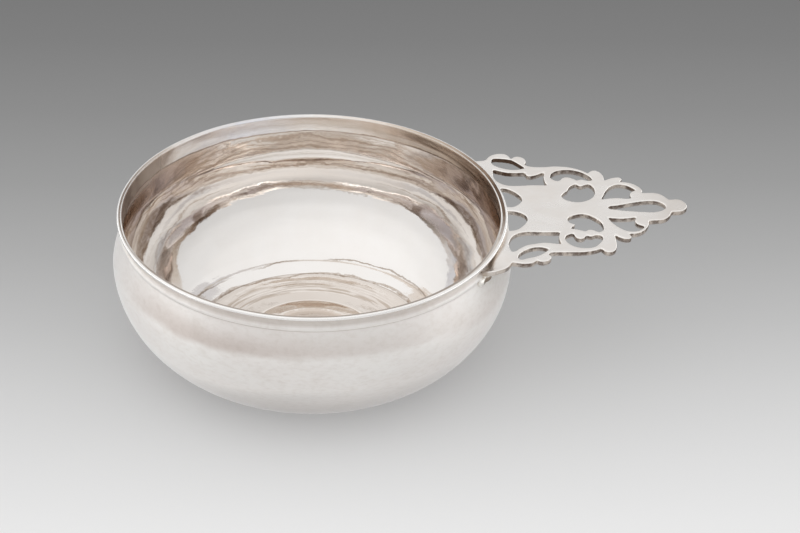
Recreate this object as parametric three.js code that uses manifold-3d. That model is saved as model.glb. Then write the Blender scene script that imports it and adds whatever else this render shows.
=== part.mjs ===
// Porringer: a bulging silver bowl with a turned-out lip, one flat pierced scroll handle and
// the solder seam that joins them. Millimetres, +Z up, handle toward +X, standing on z = 0.

import * as THREE from 'three';
import { mergeVertices } from 'three/addons/utils/BufferGeometryUtils.js';
import Module from 'manifold-3d';

const wasm = await Module();
wasm.setup();

// Bowl
const lipRadius = 67;
const bowlHeight = 53;
const sheet = 0.8;
const lipThickness = 1.2;
const collarHeight = 5.7;
const collarInset = 0.75;
const neckInset = 1.45;
const bulgeDrop = 16.8;
const bulgeOverhang = 1.85;
const wallSweep = 38.2;
const wallFoot = THREE.MathUtils.degToRad(57.5);
const footWidth = 3.5;
const footRise = 1.5;
const heelRise = 2.2;
const heelWidth = 6.2;
const coveRise = 0.3;
const coveWidth = 3;
const domeRadius = 24;
const domeRise = 4.2;
const shoulderTurn = THREE.MathUtils.degToRad(26);

// Handle
const handleReach = 63.5;
const handleSpan = 74;
const handleThickness = 2;
const handleDrop = 1.45;
const handleDroop = THREE.MathUtils.degToRad(1.5);

// Joint between bowl and handle
const seatGap = 0.3;
const seamWidth = 0.9;
const seamDepth = 2;
const seamFootWidth = 0.45;
const seamHollow = 0.3;
const earFilletWidth = 2.4;
const earFilletDepth = 1.6;
const seamOverrun = THREE.MathUtils.degToRad(6.4);
const earReach = THREE.MathUtils.degToRad(9.6);

// Fineness of the facets: round the bowl, along its profile, along the seam and on each curve
const turnSegments = 64;
const profileSteps = { dome: 6, cove: 2, foot: 2, wall: 8, shoulder: 3, collar: 4, lip: 4 };
const seamSteps = 36;
const curveDivisions = 3;

// Heights and radii that follow from the sizes above
const bulgeRadius = lipRadius + bulgeOverhang;
const bulgeHeight = bowlHeight - bulgeDrop;
const collarRadius = lipRadius - collarInset;
const collarBottom = bowlHeight - collarHeight;
const neckRadius = lipRadius - neckInset;
const lipRound = lipThickness / 2;
const handleTip = lipRadius + handleReach * Math.cos(handleDroop);
const bowlCentre = -(handleTip - bulgeRadius) / 2;

const silver = { color: 0xd9d3ce, metalness: 1, roughness: 0.3 };
const materials = {
  bowl: new THREE.MeshStandardMaterial(silver),
  handle: new THREE.MeshStandardMaterial({ ...silver, color: 0xe0dad4, roughness: 0.26 }),
  solder: new THREE.MeshStandardMaterial({ ...silver, color: 0xbdb3a6, roughness: 0.45 }),
};

// Solids, and meshes made from them

function toSolid(geometry) {
  const bare = geometry.clone();
  bare.deleteAttribute('normal');
  bare.deleteAttribute('uv');
  const merged = mergeVertices(bare, 1e-4);
  const vertProperties = new Float32Array(merged.attributes.position.array);
  const triVerts = new Uint32Array(merged.index.array);
  return new wasm.Manifold(new wasm.Mesh({ numProp: 3, vertProperties, triVerts }));
}

function toGeometry(solid) {
  const { vertProperties, triVerts } = solid.getMesh();
  const geometry = new THREE.BufferGeometry();
  geometry.setAttribute('position', new THREE.BufferAttribute(vertProperties, 3));
  geometry.setIndex(new THREE.BufferAttribute(triVerts, 1));
  geometry.computeVertexNormals();
  return geometry;
}

function namedMesh(name, geometry, material) {
  const mesh = new THREE.Mesh(geometry, material);
  mesh.name = name;
  return mesh;
}

// A profile of radius and height turned about the upright axis of the bowl
function turned(points) {
  const geometry = new THREE.LatheGeometry(points, turnSegments);
  geometry.rotateX(Math.PI / 2);
  return geometry;
}

// Bowl

// The pull of the dome's curve at its crown and at its foot, as shares of its radius
const domeCrown = 0.5;
const domeFoot = 0.75;

// How far along the cove its curve turns, as a share of its width
const coveTurn = 0.73;

// Outside of the raised sheet, from the middle of the underside to the edge of the lip
function outerProfile() {
  const wallCentre = bulgeRadius - wallSweep;
  const footHeight = coveRise + heelRise + footRise;
  const wallDepth = (bulgeHeight - footHeight) / Math.sin(wallFoot);
  const footRadius = wallCentre + wallSweep * Math.cos(wallFoot);
  const footSlope = wallDepth / (wallSweep * Math.tan(wallFoot));
  const heelRadius = footRadius - footWidth;
  const coveRadius = heelRadius - heelWidth;
  const restRadius = coveRadius - coveWidth;
  const dome = new THREE.CubicBezierCurve(
    new THREE.Vector2(0, domeRise),
    new THREE.Vector2(domeRadius * domeCrown, domeRise),
    new THREE.Vector2(domeRadius * domeFoot, 0),
    new THREE.Vector2(domeRadius, 0),
  );
  const cove = new THREE.QuadraticBezierCurve(
    new THREE.Vector2(restRadius, 0),
    new THREE.Vector2(restRadius + coveTurn * coveWidth, 0),
    new THREE.Vector2(coveRadius, coveRise),
  );

  // The foot bends from the slope of the heel's cone to the slope of the wall
  const heelSlope = heelRise / heelWidth;
  const bend = (footRise - heelSlope * footWidth) / (footSlope - heelSlope);
  const foot = new THREE.QuadraticBezierCurve(
    new THREE.Vector2(heelRadius, coveRise + heelRise),
    new THREE.Vector2(footRadius - bend, footHeight - bend * footSlope),
    new THREE.Vector2(footRadius, footHeight),
  );
  const wall = new THREE.EllipseCurve(
    wallCentre, bulgeHeight, wallSweep, wallDepth, -wallFoot, 0, false);

  // The shoulder is part of an ellipse that starts upright at the bulge and ends at the collar
  const shoulderWidth = (bulgeRadius - collarRadius) / (1 - Math.cos(shoulderTurn));
  const shoulderRise = (collarBottom - bulgeHeight) / Math.sin(shoulderTurn);
  const shoulder = new THREE.EllipseCurve(
    bulgeRadius - shoulderWidth, bulgeHeight, shoulderWidth, shoulderRise, 0, shoulderTurn, false);
  const collar = new THREE.CubicBezierCurve(
    new THREE.Vector2(collarRadius, collarBottom),
    new THREE.Vector2(neckRadius, collarBottom + collarHeight / 4),
    new THREE.Vector2(neckRadius, bowlHeight - collarHeight / 4),
    new THREE.Vector2(lipRadius, bowlHeight - lipRound),
  );
  const runs = [
    dome.getPoints(profileSteps.dome),
    cove.getPoints(profileSteps.cove),
    foot.getPoints(profileSteps.foot),
    wall.getPoints(profileSteps.wall).slice(1),
    shoulder.getPoints(profileSteps.shoulder).slice(1),
    collar.getPoints(profileSteps.collar).slice(1),
  ];
  return runs.flat();
}

// Points moved square to the profile, by the distance that each height asks for
function offsetProfile(points, distanceAt) {
  return points.map((point, index) => {
    const before = points[Math.max(index - 1, 0)];
    const after = points[Math.min(index + 1, points.length - 1)];
    const along = after.clone().sub(before).normalize();
    if (index === 0) along.set(1, 0);
    const inward = new THREE.Vector2(-along.y, along.x);
    return point.clone().addScaledVector(inward, distanceAt(point));
  });
}

// The sheet is a little thicker toward the lip
function sheetThickness(point) {
  const share = THREE.MathUtils.smoothstep(point.y, collarBottom, bowlHeight - lipRound);
  return THREE.MathUtils.lerp(sheet, lipThickness, share);
}

function bowlGeometry() {
  const outside = outerProfile();
  const inside = offsetProfile(outside, sheetThickness).reverse().slice(1);
  const lip = new THREE.EllipseCurve(
    lipRadius - lipRound, bowlHeight - lipRound, lipRound, lipRound, 0, Math.PI, false);
  return turned([...outside, ...lip.getPoints(profileSteps.lip).slice(1), ...inside]);
}

// The room that the bowl takes, with the joint gap all round and no hollow
function bowlRoom() {
  const wall = offsetProfile(outerProfile(), () => -seatGap).filter((point) => point.x > domeRadius);
  const top = bowlHeight + seatGap;
  const edge = lipRadius + seatGap;
  const start = new THREE.Vector2(0, wall[0].y);
  const rim = [new THREE.Vector2(edge, top), new THREE.Vector2(0, top)];
  return toSolid(turned([start, ...wall, ...rim]));
}

// Handle

// Half of the handle's plan, drawn for this reach and span: each point is [out from the lip,
// sideways], and each stroke is a smooth line that ends in a corner
const drawnReach = 63.5;
const drawnSpan = 74;
const rootDepth = 22;
const rootSide = 32.4;
const outline = [
  [[-rootDepth, rootSide], [-4.4, rootSide]],
  [[-4.4, rootSide], [-2.9, 34.8], [-1, 36.4], [1.4, 37], [4.1, 36], [5.9, 33.2]],
  [[5.9, 33.2], [6.8, 34.6], [8.2, 35.1], [9.9, 34.4], [10.9, 32.4], [10.4, 29.9], [11.2, 28.7]],
  [[11.2, 28.7], [14, 28.1], [21, 28.2], [25.5, 27.2], [28.6, 25.8], [31, 24.2]],
  [[31, 24.2], [31.6, 26], [33, 26.8], [34.8, 25.9], [36, 23], [35.9, 18]],
  [[35.9, 18], [38.3, 19.2], [40.6, 20.4], [42.2, 20.4], [42.8, 19.2], [42, 17.7]],
  [[42, 17.7], [45, 16.8], [47.4, 15], [48.9, 12.4], [48.6, 9.1]],
  [[48.6, 9.1], [51, 9.2], [53.4, 9.1], [55.6, 7.9], [57, 6], [57.5, 3.6]],
];
const finialRadius = 3.6;
const eye = [
  [[-1, 31], [0.2, 32.3], [2.6, 32], [5.6, 31.2]],
  [[5.6, 31.2], [7.4, 29.6], [9.9, 26.5]],
  [[9.9, 26.5], [7.8, 25.3], [4.8, 25.5], [1.9, 27], [-0.4, 29.2], [-1, 31]],
];
const slot = [
  [[-1.5, 26.9], [1, 25], [4.3, 23.7], [9.4, 23.3]],
  [[9.4, 23.3], [10.3, 21.9], [12, 21.9], [14.2, 23], [16.5, 24]],
  [[16.5, 24], [16, 20], [16.4, 15.5]],
  [[16.4, 15.5], [11, 15.7], [5, 15.4], [2, 15.8], [-0.5, 17.8], [-1.5, 21], [-1.5, 26.9]],
];
const halfRound = [
  [[0.3, 1.1], [-0.2, 13.8]],
  [[-0.2, 13.8], [1.9, 13.4], [4.3, 11.2], [6.2, 7], [4.6, 2.8], [2.6, 1.4], [0.3, 1.1]],
];
const crescent = [
  [[20.2, 17.3], [18.3, 19], [18.2, 21.8], [20.2, 24.8], [24.6, 25.6], [29, 23.8], [31.9, 18.5]],
  [[31.9, 18.5], [30, 18.2], [28.4, 18.7], [26.6, 18]],
  [[26.6, 18], [25.2, 19.4], [23.6, 20.1], [21.9, 19.4], [20.2, 17.3]],
];
const cusped = [
  [[20.3, 8], [22, 5.1], [25.6, 4], [29.4, 5.6], [31.7, 9], [32, 13], [30.6, 16.1]],
  [[30.6, 16.1], [28.8, 15], [27.4, 14.7], [26.2, 15.9]],
  [[26.2, 15.9], [24.2, 14.8], [22.9, 13], [22.6, 11.4]],
  [[22.6, 11.4], [21.2, 10], [20.3, 8]],
];
const loopHole = [
  [[34, 5.6], [35.6, 9.6], [38, 13.6], [42.1, 15.6], [45.2, 14.4], [46.6, 12]],
  [[46.6, 12], [45, 10.8], [44.2, 8.8], [44.6, 6.5]],
  [[44.6, 6.5], [41, 6.9], [37.5, 6.6], [34, 5.6]],
];
const teardrop = [
  [[35.8, 0], [39.5, 1.4], [45, 3], [50.5, 3.8], [54, 2.9], [55.6, 0]],
];

function planPoint([out, side]) {
  return new THREE.Vector2(
    out * handleReach / drawnReach,
    side * handleSpan / drawnSpan,
  );
}

const mirrored = (strokes) => strokes.map((stroke) => stroke.map(([out, side]) => [out, -side]));
const reversed = (strokes) => strokes.map((stroke) => [...stroke].reverse()).reverse();

function drawStrokes(path, strokes) {
  for (const stroke of strokes) {
    const [, ...rest] = stroke.map(planPoint);
    if (rest.length === 1) path.lineTo(rest[0].x, rest[0].y);
    else path.splineThru(rest);
  }
}

function hole(strokes) {
  const start = planPoint(strokes[0][0]);
  const path = new THREE.Path();
  path.moveTo(start.x, start.y);
  drawStrokes(path, strokes);
  return path;
}

// The outline runs anticlockwise, from the near side of the root round the tip to the far side
function handlePlan() {
  const nearSide = mirrored(outline);
  const farSide = reversed(outline);
  const start = planPoint(nearSide[0][0]);
  const shape = new THREE.Shape();
  shape.moveTo(start.x, start.y);
  drawStrokes(shape, nearSide);
  const neckSide = planPoint(farSide[0][0]).y;
  const spread = Math.PI - Math.asin(Math.min(neckSide / finialRadius, 1));
  shape.absarc(handleReach - finialRadius, 0, finialRadius, -spread, spread, false);
  const neck = planPoint(farSide[0][0]);
  shape.lineTo(neck.x, neck.y);
  drawStrokes(shape, farSide);
  shape.closePath();
  for (const strokes of [eye, slot, halfRound, crescent, cusped, loopHole]) {
    shape.holes.push(hole(strokes), hole(mirrored(strokes)));
  }
  shape.holes.push(hole([...teardrop, ...reversed(mirrored(teardrop))]));
  return shape;
}

// From the handle's own plan, face up at z = 0, to its place beside the bowl
const handlePlace = new THREE.Matrix4()
  .makeTranslation(lipRadius, 0, bowlHeight - handleDrop)
  .multiply(new THREE.Matrix4().makeRotationY(handleDroop));

function handleGeometry(room) {
  const plate = new THREE.ExtrudeGeometry(handlePlan(), {
    depth: handleThickness,
    bevelEnabled: false,
    curveSegments: curveDivisions,
  });
  plate.translate(0, 0, -handleThickness);
  plate.applyMatrix4(handlePlace);
  return toGeometry(toSolid(plate).subtract(room));
}

// Solder seam

// The seam runs past the place where each side of the root meets the neck, and swells before it
const rootAngle = Math.asin(rootSide * handleSpan / drawnSpan / neckRadius);
const seamHalfAngle = rootAngle + seamOverrun;
const earStartAngle = rootAngle - earReach;

// How far the fillet swells under each ear of the handle's root: 0 away from it, 1 at its middle
function earSwell(angle) {
  const share = (Math.abs(angle) - earStartAngle) / (seamHalfAngle - earStartAngle);
  return Math.sin(Math.PI * THREE.MathUtils.clamp(share, 0, 1)) ** 2;
}

// Section of the fillet below the handle's root, hollow on its face: [radius, height] corners
function seamSection(swell) {
  const top = bowlHeight - handleDrop;
  const under = top - handleThickness - seatGap;
  const foot = under - seamDepth - earFilletDepth * swell;
  const inner = neckRadius - sheet;
  const faceFoot = neckRadius + seatGap + seamFootWidth;
  const faceTop = neckRadius + seatGap + seamWidth + earFilletWidth * swell;
  const faceMiddle = THREE.MathUtils.lerp(faceFoot, faceTop, seamHollow);
  return [
    [inner, top],
    [inner, foot],
    [faceFoot, foot],
    [faceMiddle, (under + foot) / 2],
    [faceTop, under],
    [faceTop, top],
  ];
}

// The section swept round the neck, then cut clear of the bowl and of the handle
function seamGeometry(room) {
  const positions = [];
  for (let step = 0; step <= seamSteps; step++) {
    const angle = THREE.MathUtils.lerp(-seamHalfAngle, seamHalfAngle, step / seamSteps);
    for (const [radius, height] of seamSection(earSwell(angle))) {
      positions.push(radius * Math.cos(angle), radius * Math.sin(angle), height);
    }
  }
  const ring = seamSection(0).length;
  const faces = [];
  for (let step = 0; step < seamSteps; step++) {
    for (let corner = 0; corner < ring; corner++) {
      const here = step * ring + corner;
      const next = step * ring + (corner + 1) % ring;
      faces.push(here, next + ring, next);
      faces.push(here, here + ring, next + ring);
    }
  }
  const last = seamSteps * ring;
  for (let corner = 1; corner < ring - 1; corner++) {
    faces.push(0, corner, corner + 1);
    faces.push(last, last + corner + 1, last + corner);
  }
  const sweep = new THREE.BufferGeometry();
  sweep.setAttribute('position', new THREE.Float32BufferAttribute(positions, 3));
  sweep.setIndex(faces);
  return toGeometry(toSolid(sweep).subtract(room).subtract(toSolid(spaceAbovePlate())));
}

// Everything above the handle's underside, less the joint gap
function spaceAbovePlate() {
  const size = 2 * handleTip;
  const block = new THREE.BoxGeometry(size, size, handleTip);
  block.translate(0, 0, handleTip / 2 - handleThickness - seatGap);
  block.applyMatrix4(handlePlace);
  return block;
}

const porringer = new THREE.Group();
const room = bowlRoom();
porringer.add(namedMesh('bowl', bowlGeometry(), materials.bowl));
porringer.add(namedMesh('handle', handleGeometry(room), materials.handle));
porringer.add(namedMesh('solder_seam', seamGeometry(room), materials.solder));
porringer.position.x = bowlCentre;
porringer.updateMatrixWorld(true);

export default porringer;
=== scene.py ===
import math

import bpy
from mathutils import Matrix, Vector


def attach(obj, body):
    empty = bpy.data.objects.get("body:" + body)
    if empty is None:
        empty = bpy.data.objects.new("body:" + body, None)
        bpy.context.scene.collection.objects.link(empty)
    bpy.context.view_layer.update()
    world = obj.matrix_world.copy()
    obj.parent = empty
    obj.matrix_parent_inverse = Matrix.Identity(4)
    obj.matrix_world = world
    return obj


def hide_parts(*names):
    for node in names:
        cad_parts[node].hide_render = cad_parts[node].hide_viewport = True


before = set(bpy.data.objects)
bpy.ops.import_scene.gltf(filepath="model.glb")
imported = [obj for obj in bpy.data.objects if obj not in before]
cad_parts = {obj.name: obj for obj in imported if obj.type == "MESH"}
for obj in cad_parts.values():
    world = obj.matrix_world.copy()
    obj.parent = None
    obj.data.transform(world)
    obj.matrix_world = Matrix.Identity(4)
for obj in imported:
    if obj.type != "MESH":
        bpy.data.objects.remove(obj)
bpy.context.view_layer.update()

# Sizes in millimetres are turned into metres by this
MM = 0.001

# The bowl's upright axis, the radius of its lip, the radius and height of its widest place, the
# thickness of the sheet and the steps of its spin
BOWL_X = -30.815
LIP_R = 67.0
BULGE_R = 67.8
BULGE_Z = 34.5
SHEET = 0.8
AROUND = 224

# The handle's plate: height of its top at the lip, thickness, and its slope down toward the tip in
# degrees
PLATE_TOP = 51.55
PLATE = 2.0
DROOP = 1.5


def deselect():
    if bpy.context.object and bpy.context.object.mode != "OBJECT":
        bpy.ops.object.mode_set(mode="OBJECT")
    bpy.ops.object.select_all(action="DESELECT")


def only(piece):
    deselect()
    piece.select_set(True)
    bpy.context.view_layer.objects.active = piece


def settle(piece, name):
    """Place, turn and scale go into the mesh."""
    only(piece)
    bpy.ops.object.transform_apply(location=True, rotation=True, scale=True)
    piece.name = name
    piece.data.name = name
    return piece


def apply_modifier(piece, kind, **settings):
    only(piece)
    modifier = piece.modifiers.new(kind.lower(), kind)
    for key, value in settings.items():
        setattr(modifier, key, value)
    bpy.ops.object.modifier_apply(modifier=modifier.name)


def uneven(piece, name, direction, size, depth, middle=0.5, levels=1):
    """The surface wanders to and fro by a cloudy pattern: its size in metres, its depth in millimetres."""
    texture = bpy.data.textures.new(name, "CLOUDS")
    texture.noise_scale = size
    texture.noise_depth = levels
    apply_modifier(piece, "DISPLACE", direction=direction, texture=texture, texture_coords="LOCAL",
                   strength=depth * MM, mid_level=middle)


# Camera: film width and focal length in millimetres, place in metres, turn in degrees

FILM_WIDTH = 36.0
FOCAL_LENGTH = 131.356
CAMERA_PLACE = (-0.08932, -0.85081, 0.57520)
CAMERA_TURN = (57.4374, -1.1341, -5.2514)


def place_camera():
    data = bpy.data.cameras.new("camera")
    data.sensor_width = FILM_WIDTH
    data.lens = FOCAL_LENGTH
    data.clip_start = 0.01
    data.clip_end = 50.0
    camera = bpy.data.objects.new("camera", data)
    bpy.context.scene.collection.objects.link(camera)
    camera.location = CAMERA_PLACE
    camera.rotation_euler = [math.radians(degrees) for degrees in CAMERA_TURN]
    bpy.context.scene.camera = camera


# Small helpers for node trees

def new_material(name):
    material = bpy.data.materials.new(name)
    material.use_nodes = True
    material.node_tree.nodes.clear()
    return material


class Tree:
    """Short ways to add nodes to the tree of a material or of the world."""

    def __init__(self, tree):
        self.tree = tree

    def node(self, kind, inputs=None, **settings):
        made = self.tree.nodes.new(kind)
        for key, value in settings.items():
            setattr(made, key, value)
        for key, value in (inputs or {}).items():
            self.feed(made.inputs[key], value)
        return made

    def feed(self, socket, value):
        if hasattr(value, "links"):
            self.tree.links.new(value, socket)
        else:
            socket.default_value = value

    def math(self, operation, first, second=0.0, third=0.0, clamp=False):
        made = self.node("ShaderNodeMath", {0: first, 1: second, 2: third}, operation=operation)
        made.use_clamp = clamp
        return made.outputs[0]

    def times(self, first, second):
        return self.math("MULTIPLY", first, second)

    def plus(self, first, second, clamp=False):
        return self.math("ADD", first, second, clamp=clamp)

    def vector(self, operation, first, second=(0, 0, 0)):
        made = self.node("ShaderNodeVectorMath", {0: first, 1: second}, operation=operation)
        return made.outputs[0]

    def ramp(self, factor, stops, interpolation="LINEAR"):
        made = self.node("ShaderNodeValToRGB", {"Fac": factor})
        made.color_ramp.interpolation = interpolation
        elements = made.color_ramp.elements
        elements[0].position, elements[1].position = stops[0][0], stops[-1][0]
        elements[0].color, elements[1].color = rgba(stops[0][1]), rgba(stops[-1][1])
        for position, colour in stops[1:-1]:
            elements.new(position).color = rgba(colour)
        return made.outputs["Color"]

    def spread(self, value, low, high, to_low=0.0, to_high=1.0, smooth=False):
        made = self.node("ShaderNodeMapRange", {
            "Value": value, "From Min": low, "From Max": high, "To Min": to_low, "To Max": to_high})
        made.interpolation_type = "SMOOTHSTEP" if smooth else "LINEAR"
        return made.outputs["Result"]

    def noise(self, vector, scale, detail=2.0, roughness=0.5, distortion=0.0):
        made = self.node("ShaderNodeTexNoise", {
            "Vector": vector, "Scale": scale, "Detail": detail, "Roughness": roughness,
            "Distortion": distortion})
        return made.outputs["Fac"]

    def mix(self, factor, first, second, blend="MIX"):
        made = self.node("ShaderNodeMix", data_type="RGBA", blend_type=blend)
        self.feed(made.inputs["Factor"], factor)
        self.feed(made.inputs[6], first)
        self.feed(made.inputs[7], second)
        return made.outputs[2]

    def bump(self, height, distance, normal=None):
        made = self.node("ShaderNodeBump", {"Height": height, "Distance": distance})
        if normal is not None:
            self.feed(made.inputs["Normal"], normal)
        return made.outputs["Normal"]


def rgba(colour):
    if isinstance(colour, (int, float)):
        colour = (colour, colour, colour)
    return (*colour, 1.0)


def round_stops(stops):
    """Degrees from straight behind become shares of a full turn, with 0.5 straight behind."""
    return [(degrees / 360.0 + 0.5, value) for degrees, value in stops]


def line_mark(tree, value, centre, half):
    """1 along the middle of a line, 0 outside its half width."""
    away = tree.math("ABSOLUTE", tree.math("SUBTRACT", value, centre))
    return tree.spread(tree.math("DIVIDE", away, half), 1.2, 0.65)


# Multiplies a colour by a tint; used for real stains and for painted shade and painted reflections alike
def stain_and_painted_light(tree, strength, colour, tint):
    return tree.mix(strength, colour, rgba(tint), "MULTIPLY")


def finish_metal(tree, colour, roughness, normal):
    shader = tree.node("ShaderNodeBsdfPrincipled", {
        "Base Color": colour, "Metallic": 1.0, "Roughness": roughness, "Normal": normal})
    tree.node("ShaderNodeOutputMaterial", {"Surface": shader.outputs["BSDF"]})
    return shader


# Floor, backdrop and light

# The backdrop's shade by depth in metres, and how far that fade is turned across the floor
FLOOR_TURN = 0.053
FLOOR_STOPS = [
    (-0.1330, 0.818), (-0.1109, 0.795), (-0.0741, 0.723), (-0.0336, 0.629), (0.0098, 0.517),
    (0.0565, 0.414), (0.1068, 0.326), (0.1614, 0.2590), (0.2206, 0.2085), (0.2750, 0.183),
]
# The light on the bare floor, by which the paper's shade is divided, and the share of the seen floor
# that glows by itself, which keeps the shadow soft
FLOOR_LIGHT = 0.900
FLOOR_GLOW = 0.45


def make_floor():
    deselect()
    bpy.ops.mesh.primitive_plane_add(size=6.0, location=(0.0, 0.0, 0.0))
    floor = bpy.context.object
    bpy.ops.object.mode_set(mode="EDIT")
    bpy.ops.mesh.subdivide(number_cuts=6)
    bpy.ops.object.mode_set(mode="OBJECT")
    settle(floor, "floor")
    material = new_material("floor_paper")
    tree = Tree(material.node_tree)
    place = tree.node("ShaderNodeTexCoord").outputs["Object"]
    parts = tree.node("ShaderNodeSeparateXYZ", {0: place})
    depth = tree.math("MULTIPLY_ADD", parts.outputs["X"], FLOOR_TURN, parts.outputs["Y"])
    low, high = FLOOR_STOPS[0][0], FLOOR_STOPS[-1][0]
    share = tree.spread(depth, low, high)
    stops = [((y - low) / (high - low), shade) for y, shade in FLOOR_STOPS]
    colour = tree.ramp(share, stops)
    shade = tree.math("DIVIDE", colour, FLOOR_LIGHT)
    paper = tree.node("ShaderNodeBsdfDiffuse", {"Color": shade}).outputs[0]
    glow = tree.node("ShaderNodeEmission", {"Color": colour, "Strength": 1.0}).outputs[0]
    path = tree.node("ShaderNodeLightPath").outputs
    seen = tree.plus(path["Is Camera Ray"], path["Is Glossy Ray"])
    seen = tree.plus(seen, path["Is Transmission Ray"], clamp=True)
    glowing = tree.times(seen, FLOOR_GLOW)
    mixed = tree.node("ShaderNodeMixShader", {0: glowing, 1: paper, 2: glow}).outputs[0]
    tree.node("ShaderNodeOutputMaterial", {"Surface": mixed})
    floor.data.materials.append(material)


# The low panels' share of their full level by degrees from straight behind, and by height, then the
# sky's level by height and at the left and right
PANEL_LEVEL = 1.5
PANEL_STOPS = [(-125, 0.0), (-100, 1.0), (-42, 1.0), (-20, 0.1), (20, 0.1), (42, 1.0), (105, 1.1),
               (135, 0.0)]
PANEL_RISE = [(0.0, 0.0), (0.04, 1.0), (0.20, 1.0), (0.32, 0.0)]
SKY_STOPS = [(0.0, 0.66), (0.18, 0.70), (0.35, 0.78), (0.62, 0.90), (0.85, 0.99), (1.0, 1.02)]
SKY_LEFT = 1.08
SKY_RIGHT = 0.90


def make_world():
    world = bpy.data.worlds.new("studio")
    bpy.context.scene.world = world
    world.use_nodes = True
    world.node_tree.nodes.clear()
    tree = Tree(world.node_tree)
    way = tree.node("ShaderNodeTexCoord").outputs["Generated"]
    parts = tree.node("ShaderNodeSeparateXYZ", {0: way})
    sky = tree.ramp(parts.outputs["Z"], SKY_STOPS, "EASE")
    side = tree.spread(parts.outputs["X"], -0.9, 0.9, SKY_LEFT, SKY_RIGHT)
    level = tree.times(sky, side)
    # Two long, low, soft panels at the sides of the table
    turn = tree.math("ARCTAN2", parts.outputs["X"], parts.outputs["Y"])
    share = tree.math("MULTIPLY_ADD", turn, 0.5 / math.pi, 0.5)
    panels = tree.ramp(share, round_stops(PANEL_STOPS), "EASE")
    low = tree.ramp(parts.outputs["Z"], PANEL_RISE, "EASE")
    panel = tree.times(tree.times(panels, low), PANEL_LEVEL)
    level = tree.plus(level, panel)
    background = tree.node("ShaderNodeBackground", {"Color": level, "Strength": 1.0}).outputs[0]
    tree.node("ShaderNodeOutputWorld", {"Surface": background})


# Bowl

def bezier(points, steps):
    """Points along a curve that starts at the first point, ends at the last and leans to the others."""
    made = []
    for step in range(steps + 1):
        t = step / steps
        row = [Vector(point) for point in points]
        while len(row) > 1:
            row = [row[i].lerp(row[i + 1], t) for i in range(len(row) - 1)]
        made.append(row[0])
    return made


# Lines scribed into the sheet: radius, half width and depth
SCRIBED_INSIDE = [(47.2, 0.35, 0.04), (36.2, 0.3, 0.03), (34.9, 0.35, 0.05), (33.4, 0.3, 0.03),
                  (31.9, 0.3, 0.03), (30.1, 0.4, 0.05)]

# Radii where the flat resting ring begins and ends, and where the wall begins with its height
RING_IN = 24.4
RING_OUT = 38.3
FOOT_R = 50.6
FOOT_Z = 4.6

# The wall's lower part is a quarter of a slightly pointed oval: its half width and its power
OVAL = 42.0
POINTED = 1.917

# The crease where the inside of the wall meets the collar, and the shoulder's lean there in degrees
CREASE_R = 64.9
CREASE_Z = 46.96
CREASE_LEAN = 16.7


def lower_wall():
    """From the foot up to the widest place."""
    steps = 70
    centre = BULGE_R - OVAL
    inset = (FOOT_R - centre) / OVAL
    drop = (1.0 - inset ** POINTED) ** (1.0 / POINTED)
    down = (BULGE_Z - FOOT_Z) / drop
    start = math.atan2(drop ** (POINTED / 2.0), inset ** (POINTED / 2.0))
    made = []
    for step in range(steps + 1):
        angle = start * (1.0 - step / steps)
        made.append(Vector((centre + OVAL * math.cos(angle) ** (2.0 / POINTED),
                            BULGE_Z - down * math.sin(angle) ** (2.0 / POINTED))))
    return made


def inner_wall():
    """Inside of the sheet from the middle of the bottom to the crease below the collar."""
    dome = (bezier([(0.0, 4.0), (4.0, 4.0), (8.0, 3.9), (12.0, 3.55)], 12)
            + bezier([(12.0, 3.55), (14.4, 3.3), (16.0, 2.85), (17.2, 2.5)], 8)[1:]
            + bezier([(17.2, 2.5), (22.6, 1.02)], 8)[1:]
            + bezier([(22.6, 1.02), (23.4, SHEET), (RING_IN, SHEET)], 6)[1:])
    ring = bezier([(RING_IN, SHEET), (RING_OUT, SHEET)], 34)
    cove = bezier([(RING_OUT, SHEET), (40.5, SHEET), (41.3, 1.08)], 8)
    cone = bezier([(41.3, 1.08), (47.3, 3.2)], 12)
    foot = bezier([(47.3, 3.2), (49.3, 3.88), (FOOT_R, FOOT_Z)], 6)
    pull = 0.222 * (CREASE_Z - BULGE_Z)
    lean = math.tan(math.radians(CREASE_LEAN))
    shoulder = bezier([(BULGE_R, BULGE_Z), (BULGE_R, BULGE_Z + pull),
                       (CREASE_R + lean * pull, CREASE_Z - pull), (CREASE_R, CREASE_Z)], 22)
    return dome + ring[1:] + cove[1:] + cone[1:] + foot[1:] + lower_wall()[1:] + shoulder[1:]


def normals(points):
    """Square to the profile, toward the inside of the bowl."""
    made = []
    for index, point in enumerate(points):
        before = points[max(index - 1, 0)]
        after = points[min(index + 1, len(points) - 1)]
        along = (after - before).normalized()
        if index == 0:
            along = Vector((1.0, 0.0))
        made.append(Vector((-along.y, along.x)))
    return made


# The collar outside, from the fine crease over the round bead and the hollow neck to the lip, then
# the turned-out lip with its groove, then the collar inside from the lip down
COLLAR_OUT = [(65.86, 47.25), (65.98, 47.38), (66.25, 47.55), (66.44, 47.85), (66.5, 48.25),
              (66.42, 48.62), (66.18, 48.95), (65.86, 49.18), (65.64, 49.5), (65.56, 49.95),
              (65.54, 50.4), (65.58, 50.85), (65.74, 51.25), (66.04, 51.55), (66.42, 51.74)]
LIP = [(66.74, 51.9), (66.93, 52.12), (LIP_R, 52.38), (66.95, 52.64), (66.8, 52.84), (66.56, 52.96),
       (66.3, 53.0), (66.06, 52.94), (65.88, 52.8), (65.78, 52.66), (65.7, 52.74), (65.56, 52.84),
       (65.4, 52.86), (65.25, 52.78), (65.16, 52.64), (65.14, 52.45)]
COLLAR_IN = [(65.16, 52.1), (65.17, 51.5), (65.17, 50.8), (65.16, 50.1), (65.13, 49.4),
             (65.08, 48.6), (65.02, 47.9), (64.95, 47.3)]

# Heights below which the outer face of the wall and the scribed lines lie
WALL_TOP = 47.0
SCRIBED_TOP = 6.0


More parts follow.
